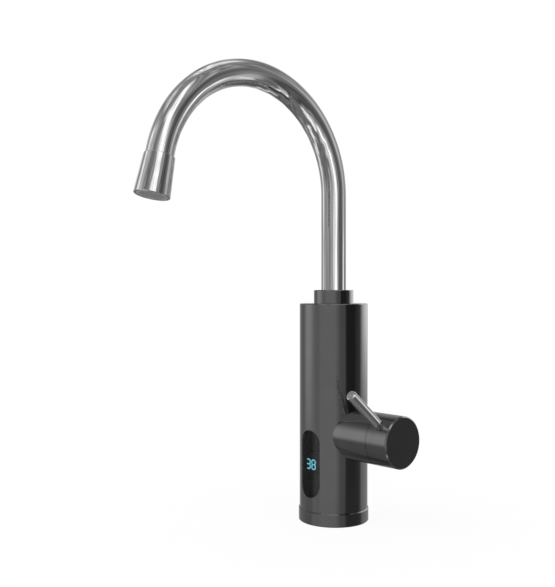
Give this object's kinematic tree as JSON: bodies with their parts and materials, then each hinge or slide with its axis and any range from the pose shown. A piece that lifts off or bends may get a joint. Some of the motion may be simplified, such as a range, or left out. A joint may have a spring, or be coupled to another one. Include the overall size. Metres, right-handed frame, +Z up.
{
  "type": "electric instant water heater tap",
  "caption": "Standing kitchen tap that heats water as it flows: round body with display window, side barrel handle with pin lever and a turning swan-neck spout.",
  "frame": {"origin": "middle of the flat seat on the worktop, on the axis of the body and of the inlet", "axes": "+Z up, along the body; -Y towards the front, where the spout reaches and the window faces; +X along the barrel handle"},
  "size_m": [0.1014, 0.215, 0.417],
  "materials": {
    "gunmetal": "satin-gloss gunmetal coating on brass and steel",
    "chrome": "mirror-polished chrome plate",
    "smoked_window": "glossy smoked acrylic",
    "display": "black display face with pale blue lit strokes",
    "brass": "machined brass",
    "rubber": "moulded black rubber",
    "ceramic": "lapped alumina ceramic",
    "ferrite": "dark sintered magnet",
    "white_plastic": "moulded white acetal",
    "grey_plastic": "moulded grey plastic",
    "black_plastic": "moulded black plastic",
    "stainless": "stainless steel",
    "circuit_board": "green lacquered circuit board"
  },
  "bodies": {
    "body": {"base_ring": "gunmetal", "base_gasket": "rubber", "base_screws": "stainless", "cord_grommet": "rubber", "inlet_shank": "brass", "deck_washer": "rubber", "clamp_washer": "stainless", "lock_nut": "brass", "valve_block": "brass", "reed_switch": "black_plastic", "cartridge_sleeve": "brass", "port_seal": "rubber", "fixed_disc": "ceramic", "cartridge_body": "white_plastic", "stem_seal": "rubber", "cartridge_nut": "brass", "bearing_ring": "white_plastic", "heating_chamber": "brass", "chamber_gasket": "rubber", "chamber_screws": "stainless", "heating_element": "ceramic", "thermal_cutout": "black_plastic", "temperature_sensor": "brass", "housing": "gunmetal", "display_lens": "smoked_window", "display_board": "circuit_board", "digit_module": "display", "display_bracket": "black_plastic", "control_board": "circuit_board", "board_posts": "brass", "triac": "black_plastic", "terminal_block": "grey_plastic", "spout_nut": "gunmetal", "slip_ring": "white_plastic"},
    "spout": {"spout_tube": "chrome", "tailpiece": "brass", "swivel_rings": "rubber", "nozzle_sleeve": "chrome", "aerator_housing": "grey_plastic", "aerator_insert": "grey_plastic", "aerator_washer": "rubber", "aerator_screen": "stainless"},
    "handle": {"handle_cap": "gunmetal", "lever": "chrome", "set_screw": "stainless", "cartridge_stem": "brass", "moving_disc": "ceramic"},
    "piston": {"flow_piston": "ferrite"}
  },
  "joints": [
    {"name": "spout_swivel", "type": "hinge", "parent": "body", "child": "spout", "pos_m": [0, 0, 0.18], "axis": [0, 0, 1], "continuous": true},
    {"name": "handle_turn", "type": "hinge", "parent": "body", "child": "handle", "pos_m": [0.053, 0, 0.0713], "axis": [1, 0, 0], "range_deg": [-45, 45]},
    {"name": "flow_lift", "type": "slide", "parent": "body", "child": "piston", "axis": [0, 0, 1], "range_m": [0, 0.006]}
  ]
}
